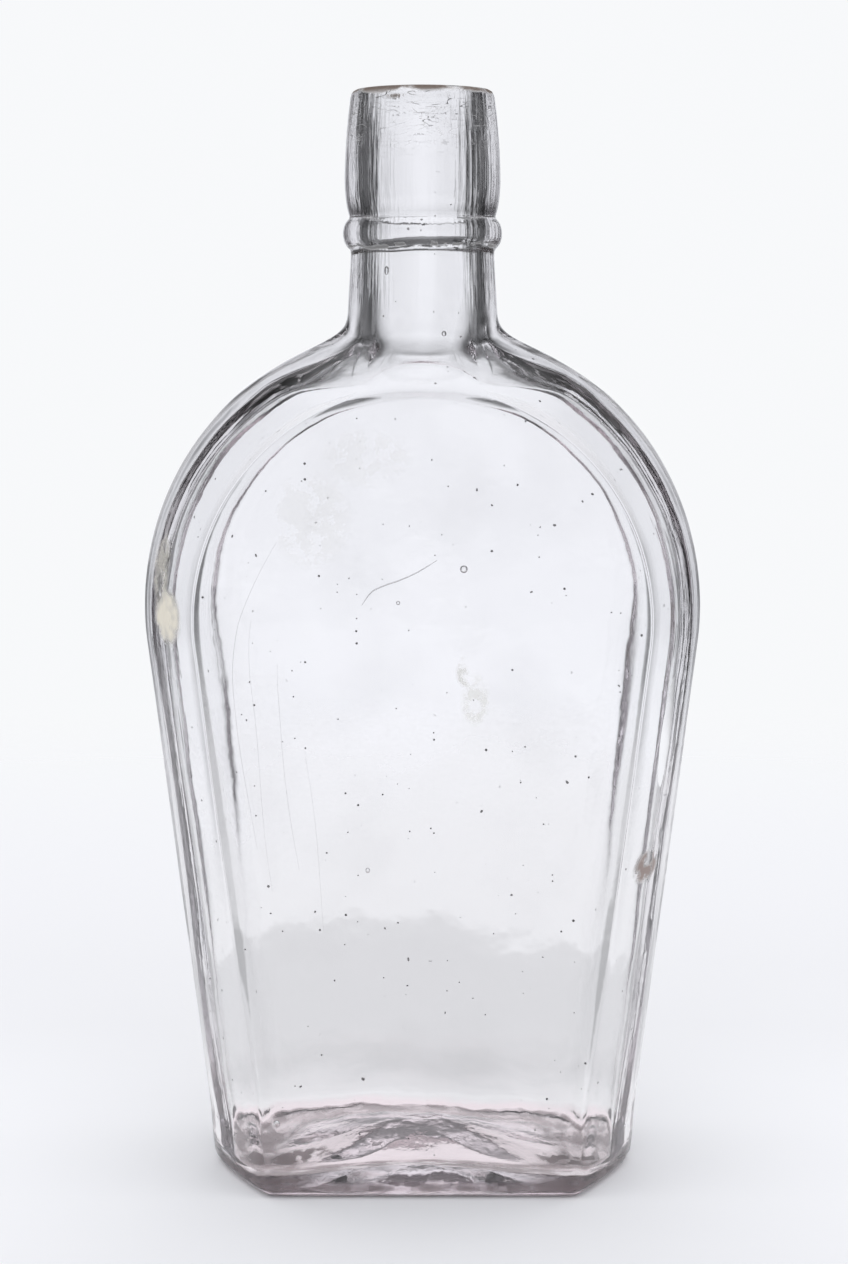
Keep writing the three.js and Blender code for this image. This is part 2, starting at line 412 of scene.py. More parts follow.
def touch_point():
    """Where the straight side runs into the shoulder's ellipse, and the outward normal there."""
    drop = SHOULDER_Z * SHOULDER_HALF_WIDTH / SHOULDER_RISE
    reach = math.hypot(BASE_HALF_WIDTH, drop)
    angle = math.acos(SHOULDER_HALF_WIDTH / reach) - math.atan2(drop, BASE_HALF_WIDTH)
    point = (SHOULDER_HALF_WIDTH * math.cos(angle), SHOULDER_Z + SHOULDER_RISE * math.sin(angle))
    normal = np.array((SHOULDER_RISE * math.cos(angle), SHOULDER_HALF_WIDTH * math.sin(angle)))
    return point, normal / np.linalg.norm(normal)


TOUCH, SIDE_NORMAL = touch_point()


def outline_offset(x, z):
    """How far a point of the front view lies inside the outline."""
    side = -((x - TOUCH[0]) * SIDE_NORMAL[0] + (z - TOUCH[1]) * SIDE_NORMAL[1])
    across = x / SHOULDER_HALF_WIDTH
    up = (z - SHOULDER_Z) / SHOULDER_RISE
    share = np.hypot(across, up) + TINY
    slope = np.hypot(across / SHOULDER_HALF_WIDTH, up / SHOULDER_RISE) / share
    arch = (1 - share) / np.maximum(slope, LEAST_SLOPE)
    above = (z - TOUCH[1]) * SIDE_NORMAL[0] - (x - TOUCH[0]) * SIDE_NORMAL[1]
    return side + (arch - side) * smooth_step(-TOUCH_BLEND, TOUCH_BLEND, above)


def half_depth(offset, form, soften):
    """Half the section's depth at a distance inside the outline: rounded edge, bevel, flat panel."""
    side = np.array((0.0, form["face"]))
    panel = np.array((form["bevel"], form["depth"]))
    chord = (panel - side) / np.linalg.norm(panel - side)
    crest = (side + panel) / 2 + 2 * form["bulge"] * np.array((-chord[1], chord[0]))
    square = side[0] - 2 * crest[0] + panel[0]
    linear = 2 * (crest[0] - side[0])
    root = np.sqrt(np.maximum(linear**2 - 4 * square * (side[0] - offset), 0))
    t = (root - linear) / (2 * square)
    bevel = (1 - t) ** 2 * side[1] + 2 * t * (1 - t) * crest[1] + t * t * panel[1]
    edge = 1 - np.minimum(offset / form["round"], 1)
    return soft_min(bevel, form["depth"], soften) * np.sqrt(1 - edge**2)


def crown_share(x, z):
    """How much of the extra thickness round the foot of the neck a place has."""
    return bell(np.abs(x), CROWN_REACH, CROWN_WIDTH) * smooth_step(*CROWN_THICK_Z, z)


def body_radius(angle, z, form):
    """Distance of the body's skin from its axis, at each angle and height."""
    across = np.abs(np.cos(angle))
    along = np.abs(np.sin(angle))
    soften = form["soften"] * (1 + form["relax"] * (1 - smooth_step(*RELAX_Z, z)))
    soften = soften * np.where(np.sin(angle) > 0, form["back"], 1)

    def inside(radius):
        offset = outline_offset(radius * across, z) - form["wall"]
        offset = offset - form["crown"] * crown_share(radius * across, z)
        depth = half_depth(np.maximum(offset, 0), form, soften)
        return (offset > 0) & (depth > radius * along)

    return farthest(inside, np.full(np.broadcast(angle, z).shape, 2 * SHOULDER_HALF_WIDTH))


def crease_angles(heights, form):
    """The angle at which bevel and panel meet, for each height, eased into one angle at the neck."""
    target = form["wall"] + form["bevel"]

    def inside(x):
        return outline_offset(x, heights) > target

    half_width = farthest(inside, np.full(len(heights), SHOULDER_HALF_WIDTH))
    crease = np.minimum(np.arctan2(form["depth"], half_width), WIDEST_ANGLE)
    return crease + (NECK_ANGLE - crease) * smooth_step(*NECK_EASE_Z, heights)


def ring_angles(crease):
    """Angles round each ring, closest together at the side edge and where bevel and panel meet."""
    crease = crease[:, None]
    share = np.arange(EDGE_STEPS) / EDGE_STEPS
    edge = share + EDGE_EASE * ((1 - np.cos(math.pi * share)) / 2 - share)
    panel = (np.arange(PANEL_STEPS) / PANEL_STEPS) ** STEP_SPREAD
    quarter = np.concatenate((edge * crease, crease + panel * (math.pi / 2 - crease)), axis=1)
    middle = np.full_like(crease, math.pi / 2)
    mirrored = math.pi - np.concatenate((quarter[:, 1:], middle), axis=1)[:, ::-1]
    half = np.concatenate((quarter, mirrored), axis=1)
    return np.concatenate((half, half + math.pi), axis=1)


def ring_heights(bounds, counts):
    """Heights of rings, evenly spread over each stretch."""
    stretches = zip(bounds, bounds[1:], counts)
    return np.concatenate([np.linspace(*stretch, endpoint=False) for stretch in stretches])


def blended(radius, heights):
    """Radii smoothed where the body runs into the neck."""
    share = BLEND_RATE * smooth_step(*BLEND_Z, heights)[:, None]
    for _ in range(BLEND_ROUNDS):
        around = (np.roll(radius, 1, axis=1) + np.roll(radius, -1, axis=1)) / 2
        along = radius.copy()
        along[1:-1] = (radius[:-2] + radius[2:]) / 2
        radius = radius + share * ((around + along) / 2 - radius)
    return radius


def rings_at(angles, heights, radius):
    """Rings of points from a radius for each height and angle."""
    levels = heights[:, None] + 0 * angles
    return np.stack((radius * np.cos(angles), radius * np.sin(angles), levels), axis=-1)


def shrunk(ring, distance, z):
    """A level ring drawn in by a distance along both its axes, and set at a height."""
    reach = np.abs(ring[:, :2]).max(axis=0)
    flat = ring[:, :2] * (1 - distance / reach)
    return np.column_stack((flat, np.full(len(ring), z)))


def foot_rings(wall_ring, z, heel, flat, rise, steps):
    """Rings from the middle of a foot outwards: a dome, its edge and the rounded heel."""
    heel_steps, dome_steps = steps
    land = shrunk(wall_ring, heel + flat, z)
    rings = []
    for share in np.linspace(0, 1, dome_steps + 1)[1:]:
        height = z + rise * (1 - share * share) ** 2
        rings.append(np.column_stack((land[:, :2] * share, np.full(len(land), height))))
    for angle in np.linspace(0, math.pi / 2, heel_steps, endpoint=False):
        rings.append(shrunk(wall_ring, heel * (1 - math.sin(angle)), z + heel * (1 - math.cos(angle))))
    return np.array(rings)


def outer_body_rings():
    """The outside of the body, from the middle of the push-up to the neck."""
    heights = ring_heights(OUTER_BOUNDS, OUTER_COUNTS)
    z = heights[:, None]
    angles = ring_angles(crease_angles(heights, OUTER))
    body = body_radius(angles, z, OUTER)
    body *= 1 + HEEL_FLARE * bell(z, HEEL_FLARE_Z, HEEL_FLARE_HEIGHT)
    neck = NECK_RADIUS + NECK_TAPER * np.clip(NECK_JOIN_Z - z, 0, NECK_TAPER_REACH)
    fillet = NECK_FILLET + NECK_FLARE * np.cos(angles) ** 2
    rings = rings_at(angles, heights, blended(soft_max(body, neck, fillet), heights))
    foot = foot_rings(rings[0], 0, HEEL_RADIUS, BEARING_WIDTH, PUSH_UP, OUTER_FOOT_STEPS)
    return np.concatenate((foot, rings))


def inner_body_rings():
    """The inside of the body, from the middle of its floor to the bore."""
    heights = ring_heights(INNER_BOUNDS, INNER_COUNTS)
    angles = ring_angles(crease_angles(heights, INNER))
    body = body_radius(angles, heights[:, None], INNER)
    rings = rings_at(angles, heights, blended(soft_max(body, BORE_RADIUS, BORE_FILLET), heights))
    foot = foot_rings(rings[0], FLOOR_Z, FLOOR_HEEL, FLOOR_LAND, FLOOR_RISE, INNER_FOOT_STEPS)
    rings = np.concatenate((foot, rings))
    arch = FLOOR_ARCH * bell(rings[..., 0], 0, FLOOR_ARCH_WIDTH)
    rings[..., 2] += arch * (1 - smooth_step(*FLOOR_ARCH_Z, rings[..., 2]))
    return rings


def arc(centre, radii, start, end):
    angles = np.linspace(start, end, ARC_STEPS)
    return np.column_stack((centre[0] + radii[0] * np.cos(angles), centre[1] + radii[1] * np.sin(angles)))


def curve(a, b, c):
    t = np.linspace(0, 1, CURVE_STEPS)[:, None]
    return (1 - t) ** 2 * np.array(a) + 2 * t * (1 - t) * np.array(b) + t * t * np.array(c)


def resampled(points, spacing):
    """A profile cut into even steps."""
    steps = np.concatenate(([0], np.cumsum(np.linalg.norm(np.diff(points, axis=0), axis=1))))
    places = np.linspace(0, steps[-1], max(2, int(round(steps[-1] / spacing)) + 1))
    return np.column_stack([np.interp(places, steps, points[:, k]) for k in (0, 1)])


def blurred(points, width):
    """A profile with its corners rounded, its two ends kept."""
    reach = BLUR_REACH * width
    weights = np.exp(-0.5 * (np.arange(-reach, reach + 1) / width) ** 2)
    weights /= weights.sum()
    padded = np.pad(points, ((reach, reach), (0, 0)), mode="reflect", reflect_type="odd")
    return np.column_stack([np.convolve(padded[:, k], weights, mode="valid") for k in (0, 1)])


def lip_profile():
    """Radius and height from the neck up over ring, groove, lip and rim, and down the bore."""
    neck_z = SEAT_Z - SEAT_DROP
    neck_top = NECK_RADIUS - NECK_TAPER * (neck_z - NECK_JOIN_Z)
    groove_z = SEAT_Z + GROOVE_RISE
    swell_z = groove_z + SWELL_RISE
    top = RIM_Z - RIM_ROUND
    mouth = (BORE_RADIUS + MOUTH_ROUND, RIM_Z - MOUTH_ROUND)
    swell = (LIP_RADIUS - LIP_SWELL[0], groove_z + LIP_SWELL[1])
    parts = (
        np.array(((NECK_RADIUS, NECK_JOIN_Z), (neck_top, neck_z))),
        arc((RING_RADIUS - RING_INSET, SEAT_Z + RING_RISE), RING_BULGE, -RING_TURN, RING_TURN),
        curve((GROOVE_RADIUS, groove_z), swell, (LIP_RADIUS, swell_z)),
        curve((LIP_RADIUS, swell_z), (LIP_RADIUS, (swell_z + top) / 2), (RIM_RADIUS, top)),
        arc((RIM_RADIUS - RIM_ROUND, top), (RIM_ROUND, RIM_ROUND), 0, math.pi / 2),
        arc(mouth, (MOUTH_ROUND, MOUTH_ROUND), math.pi / 2, math.pi),
        np.array(((BORE_RADIUS, RIM_Z - 2 * MOUTH_ROUND), (BORE_RADIUS, BORE_JOIN_Z))),
    )
    fine = resampled(np.concatenate(parts), FINE_STEP)
    return resampled(blurred(fine, BLUR_STEPS), PROFILE_STEP)


def lip_rings():
    """The turned lip, its seat lifted raggedly in front."""
    profile = lip_profile()
    angles = ring_angles(np.full(len(profile), NECK_ANGLE))
    rings = rings_at(angles, profile[:, 1], profile[:, :1])
    outside = np.arange(len(profile))[:, None] < np.argmax(profile[:, 1])
    front = np.maximum(-np.sin(angles), 0)
    lift = (SEAT_LIFT + SEAT_TILT * np.cos(angles)) * front + waves(rings * (1, 1, 0), SEAT_WAVES)
    rings[..., 2] += np.where(outside, lift * bell(rings[..., 2], SEAT_Z, SEAT_HEIGHT), 0)
    return rings


def glass_grid():
    """All rings of the glass, from the middle of the push-up round to the middle of the floor."""
    return np.concatenate((outer_body_rings(), lip_rings(), inner_body_rings()[::-1]))


def inside_outline(points):
    """How far points lie inside the outline, with the neck taken as the crown."""
    return outline_offset(np.abs(points[..., 0]), np.minimum(points[..., 2], CROWN_Z))


def flow_coordinates(grid):
    """Where points lie in the flow of the glass: in from the outline, in depth, along the outline."""
    x = grid[..., 0]
    z = grid[..., 2]
    neck = smooth_step(*NECK_FLOW_Z, z)
    offset = inside_outline(grid)
    turn = np.arctan2(z - FLOW_MIDDLE_Z, x)
    turn = np.where(turn < -math.pi / 2, turn + 2 * math.pi, turn) * FLOW_RADIUS
    return np.stack((offset + (x - offset) * neck, grid[..., 1], turn + (z - turn) * neck), axis=-1)


def waves(points, form):
    """A smooth random field, with waves drawn out along the third axis."""
    height, seed, count, shortest, longest, stretch = form
    rng = np.random.default_rng(seed)
    total = np.zeros(points.shape[:-1])
    for _ in range(count):
        length = math.exp(rng.uniform(math.log(shortest), math.log(longest)))
        direction = rng.normal(size=3)
        direction *= np.array((1, 1, 1 / stretch)) / np.linalg.norm(direction)
        phase = rng.uniform(0, 2 * math.pi)
        total += length / longest * np.sin(points @ direction * (2 * math.pi / length) + phase)
    return height * total / math.sqrt(count / 2)


def grid_normals(grid):
    along = np.gradient(grid, axis=0)
    around = np.roll(grid, -1, axis=1) - np.roll(grid, 1, axis=1)
    normal = np.cross(around, along)
    return normal / (np.linalg.norm(normal, axis=-1, keepdims=True) + TINY)


def streak_share(points, flow):
    """How strongly a place is streaked: in patches on the bevels, and all over the neck."""
    z = points[..., 2]
    bevel = 1 - smooth_step(*BEVEL_STREAK_OFFSET, inside_outline(points))
    bevel *= 1 - smooth_step(*BEVEL_STREAK_TOP_Z, z)
    bevel *= BEVEL_STREAK_FOOT + (1 - BEVEL_STREAK_FOOT) * smooth_step(*BEVEL_STREAK_FOOT_Z, z)
    bevel *= PATCH_LEAST + (1 - PATCH_LEAST) * smooth_step(*PATCH_RANGE, waves(flow, PATCH_WAVES))
    return bevel, smooth_step(*NECK_STREAK_Z, z)


def calm_share(grid):
    """How much of its waves a place keeps."""
    x = grid[..., 0]
    z = grid[..., 2]
    crown = bell(z, CALM_CROWN_Z, CALM_CROWN_HEIGHT) * bell(x, 0, CALM_CROWN_WIDTH)
    rim = smooth_step(*CALM_RIM_Z, z)
    return smooth_step(*CALM_FOOT_Z, z) * (1 - CALM_RIM * rim) * (1 - CALM_CROWN * crown)


def base_waves(grid, normals, inside):
    """Waves on the inner floor and on the push-up."""
    z = grid[..., 2]
    floor = smooth_step(*BASE_WAVE_LEVEL, normals[..., 2])
    push_up = smooth_step(*BASE_WAVE_LEVEL, -normals[..., 2]) * smooth_step(*PUSH_UP_WAVE_Z, z)
    return waves(grid, BASE_WAVES) * (1 - smooth_step(*BASE_WAVE_Z, z)) * np.where(inside, floor, push_up)


def uneven(grid, flow):
    """The grid as blown by hand: swelling walls, streaks along the bevels and the neck."""
    z = grid[..., 2]
    inside = np.arange(len(grid))[:, None] > np.argmax(z[:, 0])
    normals = grid_normals(grid)
    bevel, neck = streak_share(grid, flow)
    streaks = waves(flow, STREAK_WAVES)
    outer = waves(grid, OUTSIDE_WAVES)
    outer += (OUTSIDE_STREAKS[0] * bevel + OUTSIDE_STREAKS[1] * neck) * streaks
    inner = waves(grid, INSIDE_SWELLS) + waves(grid, INSIDE_WAVES)
    inner += (INSIDE_STREAKS[0] * bevel + INSIDE_STREAKS[1] * neck) * streaks
    inner += LEAN * (1 - smooth_step(*LEAN_Z, z)) * bell(grid[..., 0], 0, LEAN_WIDTH)
    moved = np.where(inside, inner, outer) * calm_share(grid) + base_waves(grid, normals, inside)
    return grid + normals * moved[..., None]


def capped(first, rings, last):
    """Points and faces of a skin of rings that a point closes at each end."""
    count = rings.shape[1]
    points = np.concatenate(([first], rings.reshape(-1, 3), [last]))
    here = np.arange(count)
    after = (here + 1) % count
    rows = 1 + count * np.arange(len(rings) - 1)[:, None]
    top = 1 + count * (len(rings) - 1)
    foot = np.stack((0 * here, 1 + after, 1 + here), axis=-1)
    head = np.stack((0 * here + len(points) - 1, top + here, top + after), axis=-1)
    wall = np.stack((rows + here, rows + after, rows + after + count, rows + here + count), axis=-1)
    return points, foot.tolist() + head.tolist() + wall.reshape(-1, 4).tolist()


def hollow(first, rings, last):
    """Points and faces of a hollow in the glass: a capped skin, faced inwards."""
    points, faces = capped(first, rings, last)
    return points, [[face[0], *face[:0:-1]] for face in faces]


def bubble(centre, radius, stretch):
    """A bubble, flattened with its wall."""
    turns, levels = LARGE_FACETS if radius > LARGE_BUBBLE else SMALL_FACETS
    around = np.arange(turns) / turns * 2 * math.pi
    up = (np.arange(1, levels) / levels * math.pi - math.pi / 2)[:, None]
    ball = (np.cos(up) * np.cos(around), np.cos(up) * np.sin(around), np.sin(up) + 0 * around)
    size = np.array((radius, radius * BUBBLE_FLATNESS, radius * stretch))
    pole = size * (0, 0, 1)
    return hollow(centre - pole, np.stack(ball, axis=-1) * size + centre, centre + pole)


def air_line(path, radius):
    """A thin drawn-out hollow along a path, tapering to its ends."""
    along = np.gradient(path, axis=0)
    along /= np.linalg.norm(along, axis=1, keepdims=True)
    out = np.cross(along, (0, 1, 0))
    out /= np.linalg.norm(out, axis=1, keepdims=True)
    across = np.cross(along, out)
    swell = radius * np.sqrt(np.sin(np.linspace(LINE_END, math.pi - LINE_END, len(path))))
    angles = np.arange(LINE_SIDES)[None, :, None] / LINE_SIDES * 2 * math.pi
    round_path = np.cos(angles) * out[:, None] + np.sin(angles) * across[:, None]
    return hollow(path[0], path[:, None] + swell[:, None, None] * round_path, path[-1])


def smooth_path(points, steps):
    """A path through given points, eased by a cubic between each two."""
    points = np.asarray(points, float)
    slopes = np.gradient(points, axis=0)
    t = np.linspace(0, 1, steps, endpoint=False)[:, None]
    made = []
    for k in range(len(points) - 1):
        start = (2 * t**3 - 3 * t**2 + 1) * points[k] + (t**3 - 2 * t**2 + t) * slopes[k]
        end = (3 * t**2 - 2 * t**3) * points[k + 1] + (t**3 - t**2) * slopes[k + 1]
        made.append(start + end)
    return np.concatenate(made + [points[-1:]])


def seeds():
    """Small bubbles scattered over both panels."""
    rng = np.random.default_rng(SEED_RANDOM)
    made = []
    for _ in range(SEED_COUNT):
        z = rng.uniform(*SEED_Z)
        x = rng.uniform(-1, 1) * (SEED_HALF_WIDTH + SEED_WIDENING * z)
        side = -1 if rng.random() < SEED_FRONT_SHARE else 1
        y = side * (HALF_DEPTH - rng.uniform(*SEED_DEPTH))
        made.append(bubble((x, y, z), rng.uniform(*SEED_RADIUS), rng.uniform(*SEED_STRETCH)))
    return made


def flow_line(offset, low, high, radius):
    """A line of air that follows the left side, and bends in at the shoulder."""
    z = np.linspace(low, high, FLOW_LINE_STEPS)
    reach = np.interp(z, (0, SHOULDER_Z), (BASE_HALF_WIDTH, SHOULDER_HALF_WIDTH)) - offset
    sway = FLOW_LINE_SWAY * np.sin(z / FLOW_LINE_SWAY_Z + offset)
    bend = FLOW_LINE_BEND * np.maximum(z - FLOW_LINE_BEND_Z, 0) ** 2
    return air_line(np.column_stack((bend - reach - sway, np.full(len(z), WALL_MIDDLE), z)), radius)


def hollows():
    """Bubbles, seeds and drawn lines of air inside the glass."""
    bubbles = [bubble((x, y, z), radius, stretch) for x, y, z, radius, stretch in BUBBLES]
    crease = smooth_path([(x, WALL_MIDDLE, z) for x, z in CREASE], CREASE_STEPS)
    lines = [flow_line(*line) for line in FLOW_LINES]
    return [*bubbles, *seeds(), air_line(crease, CREASE_RADIUS), *lines]


def foot_share(points, grid):
    """How much each point belongs to the foot: level glass low down, and the heel."""
    z = points[:, 2]
    level = smooth_step(*FOOT_LEVEL, np.abs(grid_normals(grid)[..., 2])).ravel()
    share = np.zeros(len(points))
    share[:len(level) + 2] = np.concatenate(([1], level, [1]))
    return np.maximum(share * (1 - smooth_step(*FOOT_Z, z)), 1 - smooth_step(*HEEL_Z, z))


def glass_mesh():
    """Body and lip as one closed skin with hollows, and what the glass material reads at each point."""
    grid = glass_grid()
    flow = flow_coordinates(grid)
    bottom = np.array((0, 0, PUSH_UP))
    floor = np.array((0, 0, FLOOR_Z + FLOOR_RISE + FLOOR_ARCH))
    points, faces = capped(bottom, uneven(grid, flow), floor)
    flows = np.concatenate(([bottom], flow.reshape(-1, 3), [floor]))
    for extra, extra_faces in hollows():
        faces += [[len(points) + k for k in face] for face in extra_faces]
        points = np.concatenate((points, extra))
        flows = np.concatenate((flows, extra))
    bevel, neck = streak_share(points, flows)
    streaky = np.clip(neck + STREAKY_BEVEL * bevel, 0, 1) * smooth_step(*STREAKY_Z, points[:, 2])
    mesh = bpy.data.meshes.new("flask_glass")
    mesh.from_pydata((points * MM).tolist(), [], faces)
    mesh.polygons.foreach_set("use_smooth", [True] * len(mesh.polygons))
    mesh.attributes.new("flow", "FLOAT_VECTOR", "POINT").data.foreach_set("vector", (flows * MM).ravel())
    for name, values in (("streaky", streaky), ("foot", foot_share(points, grid))):
        mesh.attributes.new(name, "FLOAT", "POINT").data.foreach_set("value", values)
    mesh.update()
    return mesh


def emptied_tree(owner):
    """The node tree of a new material or world, with no nodes in it."""
    owner.use_nodes = True
    owner.node_tree.nodes.clear()
    return owner.node_tree


def node(tree, kind, values=(), **settings):
    """A new node with its settings, its inputs set to values or linked to other nodes."""
    made = tree.nodes.new(kind)
    for name, value in settings.items():
        setattr(made, name, value)
    for name, value in dict(values).items():
        if isinstance(value, bpy.types.NodeSocket):
            tree.links.new(value, made.inputs[name])
        else:
            made.inputs[name].default_value = value
    return made


def combine(tree, operation, *values):
    """The result of one sum on sockets or numbers."""
    return node(tree, "ShaderNodeMath", enumerate(values), operation=operation).outputs[0]


def product(tree, first, *others):
    """The product of sockets or numbers."""
    for other in others:
        first = combine(tree, "MULTIPLY", first, other)
    return first


def remainder(tree, share):
    """What a share leaves of the whole."""
    return combine(tree, "SUBTRACT", 1, share)


def eased(tree, value, low, high, start=0.0, end=1.0):
    """A value turned into a smooth step between two bounds."""
    inputs = {"Value": value, "From Min": low, "From Max": high, "To Min": start, "To Max": end}
    return node(tree, "ShaderNodeMapRange", inputs, interpolation_type="SMOOTHSTEP").outputs[0]


def ramp(tree, value, stops):
    """A grey level by a value, with straight stretches between stops."""
    made = node(tree, "ShaderNodeValToRGB", {0: value})
    elements = made.color_ramp.elements
    while len(elements) < len(stops):
        elements.new(1)
    for element, (place, level) in zip(elements, stops):
        element.position = place
        element.color = (level, level, level, 1)
    return made.outputs[0]


def mixed(tree, factor, first, second, kind="MIX"):
    """Two colours mixed."""
    inputs = {"Factor": factor, "A": first, "B": second}
    return node(tree, "ShaderNodeMix", inputs, data_type="RGBA", blend_type=kind).outputs["Result"]


def mixed_shaders(tree, factor, first, second):
    return node(tree, "ShaderNodeMixShader", {0: factor, 1: first, 2: second}).outputs[0]


def length(tree, vector):
    return node(tree, "ShaderNodeVectorMath", {0: vector}, operation="LENGTH").outputs["Value"]


def axes(tree, vector):
    return node(tree, "ShaderNodeSeparateXYZ", {0: vector}).outputs


def attribute(tree, name, output):
    return node(tree, "ShaderNodeAttribute", attribute_name=name).outputs[output]


def scaled(tree, place, scale):
    return node(tree, "ShaderNodeMapping", {"Vector": place, "Scale": scale}).outputs[0]


def noise(tree, place, form):
    """A random field of about 0 to 1."""
    scale, detail, stretch = form
    inputs = {"Vector": scaled(tree, place, stretch), "Scale": scale, "Detail": detail}
    return node(tree, "ShaderNodeTexNoise", inputs).outputs[0]


def spot(tree, place, centre, size):
    """A soft spot round a place in millimetres: 1 in its middle, 0 outside it."""
    moved = node(tree, "ShaderNodeMapping", {
        "Vector": place,
        "Location": [-c / r for c, r in zip(centre, size)],
        "Scale": [1 / (r * MM) for r in size],
    })
    return eased(tree, length(tree, moved.outputs[0]), *SPOT_EDGE)


def stains(tree, place, coarse, fine):
    """Pairs of mask and colour for the deposits and the haze."""
    grain = combine(tree, "ADD", eased(tree, fine, *GRAIN_FINE), eased(tree, coarse, *GRAIN_COARSE))
    made = []
    for centre, size, colour, cover, solid in STAINS:
        ragged = product(tree, spot(tree, place, centre, size), eased(tree, grain, 0, 1, solid, 1))
        made.append((eased(tree, ragged, *STAIN_EDGE, 0, cover), colour))
    return made


def rim_crust(tree, z, coarse):
    """Mask of the rusty crust on the rim."""
    rim = eased(tree, z, *CRUST_Z)
    rough = product(tree, combine(tree, "SUBTRACT", coarse, NOISE_MIDDLE), CRUST_SPREAD)
    return product(tree, eased(tree, combine(tree, "ADD", rim, rough), *CRUST_STEP), rim)


def seat_line(tree, z, coarse, fine):
    """Mask of the ragged line where the lip sits on the neck."""
    wander = product(tree, combine(tree, "SUBTRACT", coarse, NOISE_MIDDLE), SEAT_LINE_WANDER)
    height = combine(tree, "SUBTRACT", combine(tree, "ADD", z, wander), SEAT_LINE_Z)
    line = eased(tree, combine(tree, "ABSOLUTE", height), *SEAT_LINE_STEP)
    return product(tree, line, eased(tree, fine, *SEAT_LINE_GRAIN), SEAT_LINE_COVER)


def lip_marks(tree, place, z, fine):
    """Mask of the thin level marks on the lip."""
    level = combine(tree, "SUBTRACT", noise(tree, place, MARK_NOISE), NOISE_MIDDLE)
    lines = eased(tree, combine(tree, "ABSOLUTE", level), *MARK_STEP)
    return product(tree, lines, eased(tree, fine, *MARK_GRAIN), eased(tree, z, *MARK_Z), MARK_COVER)


def bottom_band(tree, z, coarse):
    """Mask of a dark reddish band along the lowest millimetre of the glass, where it stands on the floor.
    """
    return product(tree, eased(tree, z, *BOTTOM_BAND_Z), eased(tree, coarse, *BOTTOM_BAND_GRAIN))


def specks(tree, place):
    """Mask of scattered specks of dirt."""
    cells = node(tree, "ShaderNodeTexVoronoi", {"Vector": place, "Scale": SPECK_SCALE}).outputs
    chance = axes(tree, cells["Color"])
    width = eased(tree, chance["Y"], 0, 1, *SPECK_WIDTH)
    chosen = combine(tree, "GREATER_THAN", chance["X"], SPECK_LEAST)
    return product(tree, combine(tree, "LESS_THAN", cells["Distance"], width), chosen, SPECK_COVER)


def covers_on_glass(tree, place):
    """Pairs of mask and colour for all that lies on the glass, and for the dark band at its very bottom.
    """
    z = axes(tree, place)["Z"]
    coarse = noise(tree, place, COARSE_NOISE)
    fine = noise(tree, place, FINE_NOISE)
    return [
        *stains(tree, place, coarse, fine),
        (eased(tree, noise(tree, place, FILM_NOISE), *FILM_STEP), FILM),
        (rim_crust(tree, z, coarse), RESIDUE),
        (seat_line(tree, z, coarse, fine), DIRT),
        (lip_marks(tree, place, z, fine), DIRT),
        (bottom_band(tree, z, coarse), BOTTOM_BAND),
        (specks(tree, place), DIRT),
    ]


def glass_relief(tree, place, foot):
    """The skin's direction: streaks along the flow, ripples all over, a rougher foot."""
    streaks = noise(tree, attribute(tree, "flow", "Vector"), STREAK_NOISE)
    streaky = attribute(tree, "streaky", "Fac")
    normal = {}
    for height, strength, distance in (
        (streaks, eased(tree, streaky, 0, 1, *STREAK_STRENGTH), STREAK_HEIGHT),
        (noise(tree, place, RIPPLE_NOISE), RIPPLE_STRENGTH, RIPPLE_HEIGHT),
        (noise(tree, place, ROUGH_NOISE), eased(tree, foot, 0, 1, *ROUGH_STRENGTH), ROUGH_HEIGHT),
    ):
        inputs = {"Height": height, "Strength": strength, "Distance": distance, **normal}
        normal = {"Normal": node(tree, "ShaderNodeBump", inputs).outputs[0]}
    return normal["Normal"]


def glass_material():
    """Clear glass with a faint cast, streaks and ripples, and what lies on it."""
    material = bpy.data.materials.new("clear_glass")
    tree = emptied_tree(material)
    place = node(tree, "ShaderNodeTexCoord").outputs["Object"]
    foot = attribute(tree, "foot", "Fac")
    colour = WHITE
    clear = 1
    for mask, tone in covers_on_glass(tree, place):
        colour = mixed(tree, mask, colour, (*tone, 1))
        clear = product(tree, clear, remainder(tree, mask))
    glass = node(tree, "ShaderNodeBsdfPrincipled", {
        "IOR": GLASS_IOR,
        "Base Color": mixed(tree, foot, colour, BASE_TINT, "MULTIPLY"),
        "Transmission Weight": clear,
        "Roughness": eased(tree, clear, *ROUGHNESS_STEP),
        "Normal": glass_relief(tree, place, foot),
    })
    cast = node(tree, "ShaderNodeVolumeAbsorption", {"Color": CAST, "Density": CAST_DENSITY})
    node(tree, "ShaderNodeOutputMaterial", {"Surface": glass.outputs[0], "Volume": cast.outputs[0]})
    return material


def screen_level(tree, direction):
    """Brightness of the screens by how far a direction turns from the front and back to the sides."""
    parts = axes(tree, direction)
    across = combine(tree, "ABSOLUTE", parts["X"])
    along = combine(tree, "ABSOLUTE", parts["Y"])
    turn = combine(tree, "ARCTAN2", across, along)
    return ramp(tree, combine(tree, "DIVIDE", turn, math.pi / 2), SCREENS)


